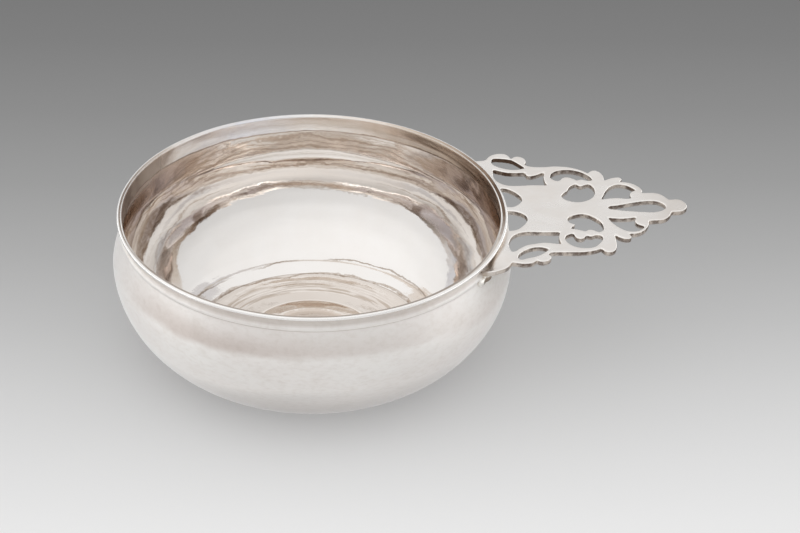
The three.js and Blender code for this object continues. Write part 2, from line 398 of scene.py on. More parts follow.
def scribed_depth(point):
    if point.y >= SCRIBED_TOP:
        return 0.0
    return sum(deep * math.exp(-((point.x - radius) / width) ** 2)
               for radius, width, deep in SCRIBED_INSIDE)


def bowl_profile():
    """The whole section of the bowl, from the middle of the underside up and over to the inside."""
    inside = inner_wall()
    square = normals(inside)
    body = [point - normal * SHEET for point, normal in zip(inside, square)]
    body = [point for point in body if point.y < WALL_TOP]
    marked = [point - normal * scribed_depth(point) for point, normal in zip(inside, square)]
    outline = body + [Vector(point) for point in COLLAR_OUT + LIP + COLLAR_IN] + marked[::-1]
    outline[0].x = 0.0
    outline[-1].x = 0.0
    return outline


def resample(points, longest):
    """Long stretches get more points, so that the facets stay small."""
    made = [points[0]]
    for point in points[1:]:
        gap = (point - made[-1]).length
        pieces = max(1, math.ceil(gap / longest))
        start = made[-1]
        made += [start.lerp(point, step / pieces) for step in range(1, pieces + 1)]
    return made


# The longest stretch of the section between two points
FACET = 0.85

# The hammer's slow unevenness: its direction, its size in metres, and how far it goes in all
HAMMER_DRIFT = (("X", 0.034), ("Y", 0.029))
HAMMER_DEPTH = 0.36


def spin_bowl():
    """The section is drawn from the middle of the underside and spun round the bowl's axis."""
    outline = resample(bowl_profile(), FACET)
    start = outline[0]
    deselect()
    bpy.ops.mesh.primitive_circle_add(
        vertices=3, radius=0.1 * MM, location=((BOWL_X + start.x) * MM, 0.0, start.y * MM))
    bowl = bpy.context.object
    bpy.ops.object.mode_set(mode="EDIT")
    bpy.ops.mesh.select_all(action="SELECT")
    bpy.ops.mesh.merge(type="CENTER")
    last = start
    for point in outline[1:]:
        step = (point - last) * MM
        bpy.ops.mesh.extrude_vertices_move(TRANSFORM_OT_translate={"value": (step.x, 0.0, step.y)})
        last = point
    bpy.ops.mesh.select_all(action="SELECT")
    bpy.ops.mesh.spin(steps=AROUND, angle=2.0 * math.pi, center=(BOWL_X * MM, 0.0, 0.0), axis=(0, 0, 1))
    bpy.ops.mesh.select_all(action="SELECT")
    bpy.ops.mesh.remove_doubles(threshold=0.002 * MM)
    bpy.ops.mesh.normals_make_consistent(inside=False)
    bpy.ops.object.mode_set(mode="OBJECT")
    return settle(bowl, "raised_bowl")


# The inner face of the wall starts at this height, and the upper face of the bottom lies below this
# height and within this radius
WALL_LOW = 4.0
BOTTOM_HIGH = 45.0
BOTTOM_R = 64.0


def faces_inward(face):
    """True for the inner face of the wall and collar and for the upper face of the bottom."""
    middle, normal = face.center, face.normal
    out = Vector((middle.x - BOWL_X * MM, middle.y, 0.0))
    away = out.normalized() if out.length > 1e-6 else Vector((0, 0, 0))
    wall = normal.dot(away) < -0.02 and middle.z > WALL_LOW * MM
    bottom = normal.z > 0.5 and middle.z < BOTTOM_HIGH * MM and out.length < BOTTOM_R * MM
    return wall or bottom


def make_bowl():
    bowl = spin_bowl()
    for axis, size in HAMMER_DRIFT:
        uneven(bowl, "hammer_drift_" + axis, axis, size, HAMMER_DEPTH)
    widen_lip(bowl)
    only(bowl)
    bpy.ops.object.shade_smooth()
    bowl.data.materials.append(outside_silver())
    bowl.data.materials.append(inside_silver())
    for face in bowl.data.polygons:
        face.material_index = 1 if faces_inward(face) else 0
    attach(bowl, "root")
    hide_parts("bowl")


# The lip's flat beside the handle: how much wider it is, how far toward the handle's side it starts,
# the radius and width over which it comes in, the height and rise over which it comes up, and the
# radius within which nothing moves
LIP_WIDER = 0.75
LIP_START = 0.35
LIP_EDGE = (66.35, 0.7)
LIP_RISE = (49.0, 2.6)
COLLAR_R = 60.0


def widen_lip(bowl):
    """The inner edge of the lip is drawn in beside the handle, where the metal was worked most."""
    inner = bowl.vertex_groups.new(name="inner_lip")
    for vertex in bowl.data.vertices:
        x, y, z = vertex.co.x - BOWL_X * MM, vertex.co.y, vertex.co.z
        radius = math.hypot(x, y)
        if radius <= COLLAR_R * MM:
            continue
        around = max(0.0, (x / radius - LIP_START) / (1.0 - LIP_START))
        inward = min(1.0, max(0.0, (LIP_EDGE[0] * MM - radius) / (LIP_EDGE[1] * MM)))
        rise = min(1.0, max(0.0, (z - LIP_RISE[0] * MM) / (LIP_RISE[1] * MM)))
        weight = around ** 0.7 * inward * rise * rise * (3.0 - 2.0 * rise)
        if weight > 0.0:
            inner.add([vertex.index], weight, "REPLACE")
    apply_modifier(bowl, "DISPLACE", direction="X", strength=-LIP_WIDER * MM, mid_level=0.0,
                   vertex_group="inner_lip")


class Round:
    """Where a point of the bowl is: distance from its axis, height, and share of a turn."""

    def __init__(self, tree):
        self.tree = tree
        self.place = tree.node("ShaderNodeTexCoord").outputs["Object"]
        centred = tree.vector("SUBTRACT", self.place, (BOWL_X * MM, 0.0, 0.0))
        parts = tree.node("ShaderNodeSeparateXYZ", {0: centred}).outputs
        flat = tree.node("ShaderNodeCombineXYZ", {"X": parts["X"], "Y": parts["Y"]}).outputs[0]
        self.radius = tree.node("ShaderNodeVectorMath", {0: flat}, operation="LENGTH").outputs["Value"]
        self.height = parts["Z"]
        self.unit = tree.node("ShaderNodeSeparateXYZ", {0: tree.vector("NORMALIZE", flat)}).outputs
        # 0.5 straight across from the front, rising toward the handle's side
        turn = tree.math("ARCTAN2", parts["X"], parts["Y"])
        self.share = tree.math("MULTIPLY_ADD", turn, 0.5 / math.pi, 0.5)

    def pattern(self, along):
        """A pattern space that runs round the bowl; a smaller `along` draws it out further."""
        run = self.tree.plus(self.radius, self.height)
        round_x = self.tree.times(self.unit["X"], along)
        round_y = self.tree.times(self.unit["Y"], along)
        return self.tree.node("ShaderNodeCombineXYZ", {"X": round_x, "Y": round_y, "Z": run}).outputs[0]

    def curve(self, stops, full=60.0):
        """A length that changes round the bowl, from stops of (degrees, millimetres)."""
        shares = [(degrees, value / full) for degrees, value in stops]
        return self.tree.times(self.strength(shares), full * MM)

    def strength(self, stops):
        """A plain number that changes round the bowl, from stops of (degrees, number)."""
        return self.tree.ramp(self.share, round_stops(stops))


# How strongly the painted brown shade band on the outside shows, by degrees from the far side
SHADE_BAND_STOPS = [(-180, 0.60), (-150, 0.95), (-133, 1.0), (-121, 0.6), (-110, 0.2), (-75, 0.1), (60, 0.2),
               (105, 0.25), (125, 0.40), (150, 0.35), (180, 0.60)]
# How strongly the painted shade low down on the wall shows at the front right
RIGHT_SHADE_STOPS = [(-180, 0.0), (90, 0.3), (115, 1.0), (140, 1.0), (160, 0.3), (172, 0.0), (180, 0.0)]

# Heights in metres where a painted shade on the outside, or the worn lip, starts and where it is full
SHADE_BAND_FOOT = (0.0378, 0.0412)
SHADE_BAND_HEAD = (0.0500, 0.0415)
LOW_SHADE_FADE = (0.0255, 0.0090)
RIGHT_SHADE_FADE = (0.0420, 0.0240)
WORN_FADE = (0.0517, 0.0522)
# How much higher the painted shade starts at the front, and the painted shade band once more at the left
FRONT_SHIFT = 0.0035
LEFT_SHIFT = 0.0032
# Middle and half width in metres of the painted shade along the crease and along the neck
CREASE_MARK = (0.04728, 0.00030)
NECK_MARK = (0.05035, 0.00130)

# Silver of the outside, and the tints that its stains and its painted shade multiply it by
COOL_SILVER = (0.965, 0.945, 0.92)
WARM_SILVER = (0.925, 0.885, 0.857)
WORN_SILVER = (0.955, 0.935, 0.915)
SMUDGE = (0.72, 0.66, 0.61)
SATIN_TINT = (0.92, 0.905, 0.89)
SHADE_BAND_TINT = (0.775, 0.725, 0.70)
LOW_SHADE_TINT = (0.57, 0.545, 0.535)
RIGHT_SHADE_TINT = (0.87, 0.86, 0.86)
CREASE_TINT = (0.62, 0.56, 0.52)
NECK_TINT = (0.80, 0.765, 0.74)
GROOVE_TINT = (0.34, 0.29, 0.25)


def painted_outside_shade(tree, bowl, broad, colour):
    """A painted brown shade band below the collar, strongest at the front left, and painted shade
    darkening the wall toward the table and low down at the front right.
    """
    edge = tree.math("MULTIPLY_ADD", broad, 0.010, bowl.height)
    edge = tree.math("SUBTRACT", edge, tree.spread(bowl.unit["Y"], -0.70, -1.0, 0.0, FRONT_SHIFT))
    high = tree.math("SUBTRACT", edge, tree.spread(bowl.unit["X"], -0.55, -0.80, 0.0, LEFT_SHIFT))
    # Painted shade: a brown band below the collar
    shade_band = tree.times(tree.spread(high, *SHADE_BAND_FOOT, smooth=True),
                       tree.spread(high, *SHADE_BAND_HEAD, 0.1, 1.0, smooth=True))
    shade_band = tree.times(shade_band, bowl.strength(SHADE_BAND_STOPS))
    colour = stain_and_painted_light(tree, shade_band, colour, SHADE_BAND_TINT)
    # Painted shade on the wall toward the table
    colour = stain_and_painted_light(tree, tree.spread(edge, *LOW_SHADE_FADE), colour, LOW_SHADE_TINT)
    # Painted shade low down at the front right
    right_shade = tree.times(tree.spread(edge, *RIGHT_SHADE_FADE), bowl.strength(RIGHT_SHADE_STOPS))
    return stain_and_painted_light(tree, right_shade, colour, RIGHT_SHADE_TINT)


def neck_and_lip(tree, bowl, worn, colour):
    """Painted shade in the crease and the neck, a lip that is worn bright, and painted shade in its groove
    in front.
    """
    # Painted shade in the fine crease below the bead
    crease = line_mark(tree, bowl.height, *CREASE_MARK)
    colour = stain_and_painted_light(tree, tree.times(crease, 0.7), colour, CREASE_TINT)
    # Painted shade in the hollow neck under the lip
    neck = line_mark(tree, bowl.height, *NECK_MARK)
    colour = stain_and_painted_light(tree, tree.times(neck, 0.9), colour, NECK_TINT)
    colour = tree.mix(worn, colour, rgba(WORN_SILVER))
    # Painted shade in the lip's groove, on the front only
    groove = tree.times(tree.spread(bowl.radius, 0.06600, 0.06580),
                        tree.spread(bowl.unit["Y"], -0.1, -0.5))
    groove = tree.times(groove, tree.spread(bowl.height, 0.0510, 0.0515))
    return stain_and_painted_light(tree, tree.times(groove, 0.9), colour, GROOVE_TINT)


def outside_silver():
    material = new_material("bowl_outside_silver")
    tree = Tree(material.node_tree)
    bowl = Round(tree)
    broad = tree.noise(bowl.pattern(0.02), 60.0, 3.0, 0.55)
    drift = tree.noise(bowl.place, 34.0, 2.0, 0.5)
    smudge = tree.noise(bowl.place, 120.0, 4.0, 0.6)
    satin = tree.noise(bowl.pattern(0.03), 900.0, 3.0, 0.6)
    tone = tree.plus(tree.spread(broad, 0.38, 0.62, 0.0, 0.5),
                     tree.spread(drift, 0.35, 0.65, -0.1, 0.4), clamp=True)
    colour = tree.mix(tone, rgba(COOL_SILVER), rgba(WARM_SILVER))
    colour = tree.mix(tree.spread(smudge, 0.55, 0.8, 0.0, 0.22), colour, rgba(SMUDGE))
    colour = stain_and_painted_light(tree, tree.spread(satin, 0.45, 0.75, 0.0, 0.8), colour, SATIN_TINT)
    colour = painted_outside_shade(tree, bowl, broad, colour)
    worn = tree.spread(bowl.height, *WORN_FADE)
    colour = neck_and_lip(tree, bowl, worn, colour)
    rough = tree.plus(tree.spread(broad, 0.3, 0.7, 0.50, 0.56),
                      tree.spread(smudge, 0.35, 0.75, -0.02, 0.05))
    rough = tree.plus(rough, tree.times(worn, -0.32))
    normal = tree.bump(satin, 0.000004, tree.bump(drift, 0.0003))
    shader = finish_metal(tree, colour, rough, normal)
    # The fine scratches run round the bowl, so they spread the light up and down
    shader.inputs["Anisotropic"].default_value = 0.7
    shader.inputs["Anisotropic Rotation"].default_value = 0.25
    shader.inputs["Sheen Weight"].default_value = 1.0
    shader.inputs["Sheen Roughness"].default_value = 0.38
    return material


# Painted reflections and painted shade on the inside, drawn as lines. Each row is (degrees from the far
# side, millimetres): the height of a line's middle above the table, or for the bottom its distance from
# the axis
LOWER_LINE = [(-180, 12.0), (-90, 12.0), (-68, 12.0), (-64, 13.0), (-60, 16.5), (-56, 18.8),
              (-50, 19.9), (-40, 20.6), (-30, 21.7), (-20, 22.9), (-12, 24.6), (-5, 24.4), (2, 23.6),
              (10, 22.9), (20, 22.1), (30, 21.8), (40, 21.9), (44, 23.4), (50, 22.8), (57, 21.2),
              (62, 19.0), (66, 17.2), (72, 14.0), (90, 12.0), (180, 12.0)]
LOWER_HALF = [(-180, 0.5), (-60, 0.5), (-50, 0.4), (-30, 0.35), (-10, 0.4), (0, 0.5), (10, 0.5),
              (35, 0.45), (50, 0.5), (70, 0.6), (180, 0.5)]
FLAME = [(-180, 9.5), (-72, 9.5), (-64, 11.2), (-60, 13.6), (-54, 17.0), (-48, 18.9), (-40, 20.0),
         (-30, 21.2), (-10, 24.0), (0, 23.3), (20, 21.8), (38, 21.2), (46, 20.8), (54, 19.4),
         (62, 16.8), (68, 14.4), (74, 11.0), (180, 9.5)]
FLAME_HALF = [(-180, 1.6), (-62, 1.9), (-54, 1.9), (-48, 1.2), (-40, 0.5), (-30, 0.35), (0, 0.4),
              (34, 0.4), (42, 0.9), (50, 1.7), (60, 1.9), (72, 2.2), (180, 1.6)]
UPPER_LINE = [(-180, 19.0), (-72, 19.0), (-66, 21.8), (-60, 25.4), (-56, 27.2), (-52, 28.2),
              (-44, 28.6), (-36, 29.0), (-28, 30.0), (-18, 31.2), (0, 31.9), (14, 31.8), (28, 31.2),
              (40, 30.6), (50, 30.2), (58, 28.4), (64, 26.2), (70, 23.6), (76, 20.8), (180, 19.0)]
UPPER_HALF = [(-180, 0.6), (-72, 1.6), (-62, 3.2), (-56, 2.8), (-51, 1.2), (-44, 0.6), (-20, 0.4),
              (20, 0.45), (44, 0.7), (54, 1.3), (66, 1.5), (76, 1.2), (180, 0.6)]
UPPER_SHOWN = [(-180, 0.4), (-70, 0.9), (-54, 1.0), (-46, 0.6), (-20, 0.45), (0, 0.75), (20, 0.6),
               (44, 0.7), (60, 1.0), (76, 0.9), (180, 0.4)]
CREASE_LINE = [(-180, 47.5), (-60, 47.7), (-50, 46.7), (-40, 45.7), (-24, 45.9), (-15, 46.6),
               (-8, 47.1), (-2, 47.0), (10, 47.1), (20, 47.9), (30, 48.3), (40, 48.3), (50, 47.9),
               (64, 47.3), (180, 47.5)]
CREASE_SHOWN = [(-180, 0.5), (-58, 1.0), (-46, 0.8), (-38, 0.3), (-34, 0.0), (-26, 0.0), (-20, 0.5),
                (-12, 0.95), (-6, 0.8), (-2, 0.0), (8, 0.0), (14, 0.9), (30, 1.0), (46, 0.9), (66, 0.6),
                (180, 0.5)]
WAVY_LINE = [(-180, 41.4), (-56, 41.9), (-45, 41.5), (-36, 41.0), (-30, 40.5), (-20, 40.4), (-15, 39.8),
             (-11, 39.3), (-7, 40.0), (-3, 40.9), (4, 41.3), (60, 41.4), (180, 41.4)]
# The arch that the painted reflection lines run along
ARCH = [(-180, 33.0), (-66, 31.5), (-56, 33.2), (-45, 35.6), (-34, 38.0), (-20, 39.8), (0, 40.9),
        (20, 41.0), (32, 39.6), (45, 37.0), (56, 34.2), (66, 31.5), (180, 33.0)]
# How far the wall below the arch is left clean, how strong the painted reflection bands are, and how far
# their lines are lost in a cooler painted tone at the sides, by degrees from the far side
LENS_STOPS = [(-180, 0.0), (-34, 0.0), (-18, 0.9), (10, 1.0), (24, 0.85), (36, 0.6), (48, 0.4),
              (58, 0.0), (180, 0.0)]
REFLECTION_STOPS = [(-180, 1.0), (26, 1.0), (38, 0.5), (52, 0.5), (62, 1.0), (180, 1.0)]
SIDE_STOPS = [(-180, 0.0), (-100, 0.4), (-76, 0.9), (-50, 0.9), (-34, 0.3), (-15, 0.0), (34, 0.0),
              (50, 0.4), (62, 0.8), (78, 0.9), (100, 0.4), (180, 0.0)]
# Painted reflection tints of the collar's inside by degrees from the far side
COLLAR_STOPS = [(-180, (0.88, 0.85, 0.82)), (-112, (0.84, 0.80, 0.76)), (-98, (0.36, 0.31, 0.27)),
                (-74, (0.30, 0.25, 0.22)), (-62, (0.56, 0.51, 0.46)), (-50, (0.70, 0.65, 0.60)),
                (-44, (0.90, 0.88, 0.86)), (-28, (0.94, 0.95, 0.98)), (-20, (0.87, 0.91, 1.0)),
                (-4, (0.92, 0.95, 1.0)), (5, (0.98, 0.99, 1.0)), (20, (0.92, 0.88, 0.84)),
                (36, (0.70, 0.62, 0.54)), (58, (0.50, 0.42, 0.35)), (70, (0.30, 0.22, 0.16)),
                (77, (0.15, 0.10, 0.07)), (96, (0.22, 0.16, 0.12)), (110, (0.84, 0.80, 0.76)),
                (180, (0.88, 0.85, 0.82))]
# Where the thick tarnish at the sides takes the shine, and how dark the painted shade on the wall just
# below the collar is, by degrees from the far side
MATT_STOPS = [(-180, 0.0), (-100, 0.0), (-92, 1.0), (-58, 1.0), (-48, 0.0), (180, 0.0)]
LEDGE_STOPS = [(-180, 0.0), (-92, 0.0), (-88, 0.8), (-79, 1.0), (-74, 0.0), (73, 0.0), (77, 1.0),
               (86, 0.8), (90, 0.0), (180, 0.0)]
# The painted cool grey shade at the edge of each flame reaches further than the flame itself
ENDS_HALF = [(degrees, 1.8 * half) for degrees, half in FLAME_HALF]

# Heights in metres where a mark on the inside starts and where it is full
REFLECTION_FOOT = (0.0300, 0.0320)
REFLECTION_HEAD = (0.0475, 0.0440)
HAZE_FOOT = (0.0225, 0.0250)
HAZE_HEAD = (0.0320, 0.0300)
MATT_FADE = (0.0400, 0.0450)
LEDGE_FADE = (0.0345, 0.0370)
COLLAR_FADE = (0.0468, 0.0471)
BOTTOM_FADE = (0.0070, 0.0060)
# The same for distances from the axis
RINGS_IN = (0.0285, 0.0298)
RINGS_OUT = (0.0385, 0.0365)
DOME_FADE = (0.0170, 0.0158)
CROWN_FADE = (0.0090, 0.0065)
# Distance between the painted reflection lines, broad and fine, and the height of the painted shade in
# the fold below the collar
BROAD_LINES = 2.5
FINE_LINES = 0.95
FOLD_Z = 0.04690

# Silver of the inside, and the tints that its painted reflections, painted shade and rubbed marks multiply
# it by
CLEAN_LIGHT = (0.910, 0.883, 0.858)
CLEAN_DARK = (0.890, 0.856, 0.824)
REFLECTION_TINT = (0.93, 0.89, 0.85)
LINES_TINT = (0.64, 0.56, 0.49)
SIDE_TINT = (0.85, 0.86, 0.95)
HAZE_TINT = (0.905, 0.885, 0.868)
ENDS_TINT = (0.76, 0.78, 0.825)
FLAME_TINT = (0.66, 0.58, 0.51)
LOWER_TINT = (0.66, 0.585, 0.52)
UPPER_TINT = (0.50, 0.42, 0.35)
RING_TINT = (0.50, 0.44, 0.39)
WAVY_TINT = (0.56, 0.49, 0.43)
RUBBED_TINT = (0.66, 0.60, 0.54)
DOME_TINT = (0.80, 0.73, 0.67)
CROWN_TINT = (0.62, 0.54, 0.48)
LEDGE_TINT = (0.40, 0.33, 0.28)
FOLD_TINT = (0.55, 0.48, 0.42)
EDGE_TINT = (0.92, 0.89, 0.86)


def reflection_wave(tree, over, grain, pitch, bend):
    """Painted reflection lines up the wall, one in every pitch, that the grain bends."""
    rise = tree.math("MULTIPLY_ADD", over, 1.0 / (pitch * MM), tree.times(grain, bend))
    return tree.math("SINE", tree.times(rise, 2.0 * math.pi))


def reflection_bands(tree, bowl, height, far, colour):
    """Painted reflections above the clean part of the wall, drawn out in lines like a wood's grain, with a
    cooler painted tone at the sides and a faint painted band lower down.
    """
    grain = tree.noise(bowl.pattern(0.012), 130.0, 2.0, 0.55)
    over = tree.math("SUBTRACT", height, bowl.curve(ARCH))
    zone = tree.times(tree.spread(height, *REFLECTION_FOOT, smooth=True),
                      tree.spread(height, *REFLECTION_HEAD, 0.25, 1.0, smooth=True))
    lens = tree.times(tree.spread(over, -0.0018, -0.0032), bowl.strength(LENS_STOPS))
    zone = tree.times(zone, tree.math("SUBTRACT", 1.0, lens))
    zone = tree.times(zone, tree.times(far, bowl.strength(REFLECTION_STOPS)))
    # Painted reflection: a brown tone over the upper wall
    colour = stain_and_painted_light(tree, tree.times(zone, 0.8), colour, REFLECTION_TINT)
    broad = reflection_wave(tree, over, grain, BROAD_LINES, 3.5)
    fine = reflection_wave(tree, over, grain, FINE_LINES, 8.0)
    lines = tree.times(tree.spread(fine, 0.1, 0.8), 0.55)
    lines = tree.math("MAXIMUM", lines, tree.spread(broad, 0.30, 0.62))
    lines = tree.times(lines, zone)
    side = tree.times(tree.spread(over, 0.0, 0.0025), bowl.strength(SIDE_STOPS))
    lines = tree.times(lines, tree.math("MULTIPLY_ADD", side, -0.9, 1.0))
    # Painted reflection lines, like a wood's grain
    colour = stain_and_painted_light(tree, tree.times(lines, 0.75), colour, LINES_TINT)
    # Painted cooler reflection tone at the sides
    colour = stain_and_painted_light(tree, tree.times(side, zone), colour, SIDE_TINT)
    # Painted reflection: a faint band lower on the far wall
    haze = tree.times(tree.spread(height, *HAZE_FOOT), tree.spread(height, *HAZE_HEAD))
    return stain_and_painted_light(tree, tree.times(haze, far), colour, HAZE_TINT), lines


def wall_lines(tree, bowl, height, far, mottle, colour):
    """Painted reflection lines where the upper painted reflections end, painted cool grey shade at their
    ends, the flame-shaped painted reflection patches on them, and the painted reflection lines beside
    them.
    """
    # Painted cool grey shade over the ends of the flames at the sides
    ends = line_mark(tree, height, bowl.curve(FLAME), bowl.curve(ENDS_HALF, 6.0))
    colour = stain_and_painted_light(tree, tree.times(ends, bowl.strength(SIDE_STOPS)), colour, ENDS_TINT)
    # Painted reflection: flame-shaped patches
    flame = line_mark(tree, height, bowl.curve(FLAME), bowl.curve(FLAME_HALF, 6.0))
    flame = tree.times(tree.times(flame, far), mottle)
    colour = stain_and_painted_light(tree, tree.times(flame, 0.35), colour, FLAME_TINT)
    # Painted reflection: the lower brown line
    lower = line_mark(tree, height, bowl.curve(LOWER_LINE), bowl.curve(LOWER_HALF, 6.0))
    lower = tree.times(lower, far)
    colour = stain_and_painted_light(tree, tree.times(lower, 0.35), colour, LOWER_TINT)
    # Painted reflection: the upper brown line
    upper = line_mark(tree, height, bowl.curve(UPPER_LINE), bowl.curve(UPPER_HALF, 6.0))
    upper = tree.times(upper, tree.times(bowl.strength(UPPER_SHOWN), mottle))
    return stain_and_painted_light(tree, tree.times(upper, far), colour, UPPER_TINT)


def bottom_marks(tree, bowl, radius, jagged, mottle, colour):
    """Painted shade along a broken crease ring and a painted reflection ring round the bottom, a rubbed
    zone, and a dome darkened by painted reflection, darkest on its crown.
    """
    # Painted shade along the broken crease ring where the wall meets the bottom
    ring = line_mark(tree, radius, bowl.curve(CREASE_LINE), 0.00032)
    colour = stain_and_painted_light(tree, tree.times(ring, bowl.strength(CREASE_SHOWN)), colour, RING_TINT)
    # Painted reflection: a wavy brown ring
    wavy = line_mark(tree, radius, bowl.curve(WAVY_LINE), 0.00050)
    colour = stain_and_painted_light(tree, tree.times(wavy, mottle), colour, WAVY_TINT)
    zone = tree.times(tree.spread(radius, *RINGS_IN), tree.spread(radius, *RINGS_OUT))
    zone = tree.times(zone, tree.spread(bowl.height, *BOTTOM_FADE))
    rubbed = tree.noise(bowl.pattern(0.004), 640.0, 2.0, 0.6)
    rubbed = tree.times(tree.spread(rubbed, 0.50, 0.60), zone)
    colour = stain_and_painted_light(tree, tree.times(rubbed, 0.75), colour, RUBBED_TINT)
    # Painted reflection: the dome darkened, most on its crown
    ragged = tree.math("MULTIPLY_ADD", jagged, 0.003, radius)
    for fade, tint in ((DOME_FADE, DOME_TINT), (CROWN_FADE, CROWN_TINT)):
        colour = stain_and_painted_light(tree, tree.times(tree.spread(ragged, *fade), 0.8), colour, tint)
    return colour


def collar_shade_and_reflection(tree, bowl, height, warp, collar, colour):
    """Painted reflections on the collar, dark under the lip at both sides, painted shade on the places
    just below it there, and painted shade in the fold.
    """
    torn = tree.noise(bowl.place, 170.0, 2.0, 0.5)
    share = tree.math("MULTIPLY_ADD", tree.spread(torn, 0.25, 0.75, -1.0, 1.0), 0.012, bowl.share)
    # Painted reflection tints on the collar
    tinted = tree.mix(1.0, colour, tree.ramp(share, round_stops(COLLAR_STOPS)), "MULTIPLY")
    colour = tree.mix(collar, colour, tinted)
    # Painted shade on the wall just below the collar at the sides
    ledge = tree.times(tree.spread(height, *LEDGE_FADE), tree.ramp(share, round_stops(LEDGE_STOPS)))
    ledge = tree.times(ledge, tree.math("SUBTRACT", 1.0, collar))
    colour = stain_and_painted_light(tree, ledge, colour, LEDGE_TINT)
    # Painted shade along the fold below the collar
    fold = line_mark(tree, tree.math("MULTIPLY_ADD", warp, 0.35, bowl.height), FOLD_Z, 0.00032)
    return stain_and_painted_light(tree, tree.times(fold, 0.8), colour, FOLD_TINT)


def inside_silver():
    material = new_material("bowl_inside_silver")
    tree = Tree(material.node_tree)
    bowl = Round(tree)
    jagged = tree.noise(bowl.pattern(0.05), 620.0, 3.0, 0.62)
    smudge = tree.noise(bowl.place, 70.0, 4.0, 0.6)
    # The marks stray from their lines, slowly by the sway and quickly by the jags
    sway = tree.noise(bowl.pattern(0.035), 150.0, 1.0, 0.5)
    sway = tree.spread(sway, 0.25, 0.75, -0.0011, 0.0011)
    warp = tree.plus(sway, tree.spread(jagged, 0.25, 0.75, -0.0007, 0.0007))
    height = tree.plus(bowl.height, warp)
    radius = tree.plus(bowl.radius, tree.times(sway, 0.7))
    radius = tree.plus(radius, tree.spread(jagged, 0.25, 0.75, -0.0003, 0.0003))
    mottle = tree.spread(jagged, 0.35, 0.62, 0.55, 1.0)
    # The painted reflections and painted shade are kept off the side nearest to the front
    far = tree.spread(bowl.unit["Y"], -0.55, -0.15, 0.1, 1.0)
    collar = tree.spread(bowl.height, *COLLAR_FADE)
    colour = tree.mix(tree.spread(smudge, 0.35, 0.7), rgba(CLEAN_LIGHT), rgba(CLEAN_DARK))
    colour, lines = reflection_bands(tree, bowl, height, far, colour)
    colour = wall_lines(tree, bowl, height, far, mottle, colour)
    colour = bottom_marks(tree, bowl, radius, jagged, mottle, colour)
    colour = collar_shade_and_reflection(tree, bowl, height, warp, collar, colour)
    matt = tree.times(tree.spread(bowl.height, *MATT_FADE), bowl.strength(MATT_STOPS))
    rough = tree.spread(smudge, 0.3, 0.75, 0.03, 0.07)
    for mark, more in ((collar, 0.12), (lines, 0.03), (matt, 0.25)):
        rough = tree.plus(rough, tree.times(mark, more))
    # From the slowest waves of the hammer to the finest
    ripple = tree.noise(bowl.pattern(0.02), 120.0, 1.0, 0.5, 0.4)
    dents = tree.noise(bowl.place, 110.0, 1.0, 0.5)
    rings = tree.noise(bowl.pattern(0.02), 520.0, 2.0, 0.6)
    normal = None
    for waves, depth in ((ripple, 0.00010), (dents, 0.00010), (rings, 0.000008), (jagged, 0.000010)):
        normal = tree.bump(waves, depth, normal)
    shader = finish_metal(tree, colour, rough, normal)
    shader.inputs["Specular Tint"].default_value = rgba(EDGE_TINT)
    return material


# Handle

# Each stroke is a smooth run from its first point, a corner, toward the first point of the next, in
# the plate's own plan: millimetres out from the bowl's axis and sideways, far side positive
FAR_EDGE = [
    [(130.1, 2.6), (129.0, 4.4), (127.4, 5.2), (125.6, 5.0)],
    [(124.6, 5.0), (123.9, 6.3), (122.5, 8.3), (120.5, 9.4), (118, 9.6)],
    [(115.8, 9.5), (116.2, 10.6), (116, 12.5), (114.5, 15), (112, 16.8)],
    [(109, 17.4), (109.8, 18.1), (110.3, 19), (109.5, 20.3), (108, 20.3), (106, 19.6)],
    [(103.7, 18.2), (104, 20.3), (103.8, 22.2), (102.6, 24.6), (101, 25.2), (99.6, 24.4)],
    [(98.8, 23.3), (97.5, 24.7), (95, 26.4), (92, 27.6), (88, 28.1), (84, 27.9), (80, 28)],
    [(78, 28.6), (77.2, 29.8), (77.7, 31), (77.8, 32.8), (76.8, 34.6), (75, 35.3), (73.6, 34.7)],
    [(72.6, 33.2), (72.3, 35), (71.3, 36.6), (69.5, 37.3), (67, 36.9), (64.8, 35.2), (63.2, 33),
     (61.5, 32.5)],
]
NEAR_EDGE = [
    [(53.6, -37.3), (55.0, -37.9), (57.3, -38.6), (60.2, -38.3), (62.8, -37.1)],
    [(64.7, -34.4), (67, -35.2), (69.5, -35.5), (71.8, -34.8)],
    [(73.3, -33.2), (74.2, -34.2), (76, -34.2), (77.8, -33), (78.4, -31.2), (77.8, -29.6)],
    [(78.6, -28.7), (82, -28.5), (86, -28.6), (90, -28.5), (93.5, -27.8)],
    [(96.3, -26.4), (97, -28), (98.4, -28.9), (100.3, -28.2), (101.5, -25.8), (102, -21.5)],
    [(102, -17.5), (103.6, -19.6), (105.6, -20.6), (107.2, -20.2), (107.6, -18.9)],
    [(106.8, -17.2), (109.8, -17), (112.4, -15.4), (114, -13.2), (115, -11)],
    [(115.3, -9), (118, -8.7), (120.6, -8.2), (122.8, -6.2)],
    [(124.4, -3), (126, -3), (127.8, -2.8), (129.4, -1.5), (130.3, 0.6)],
]
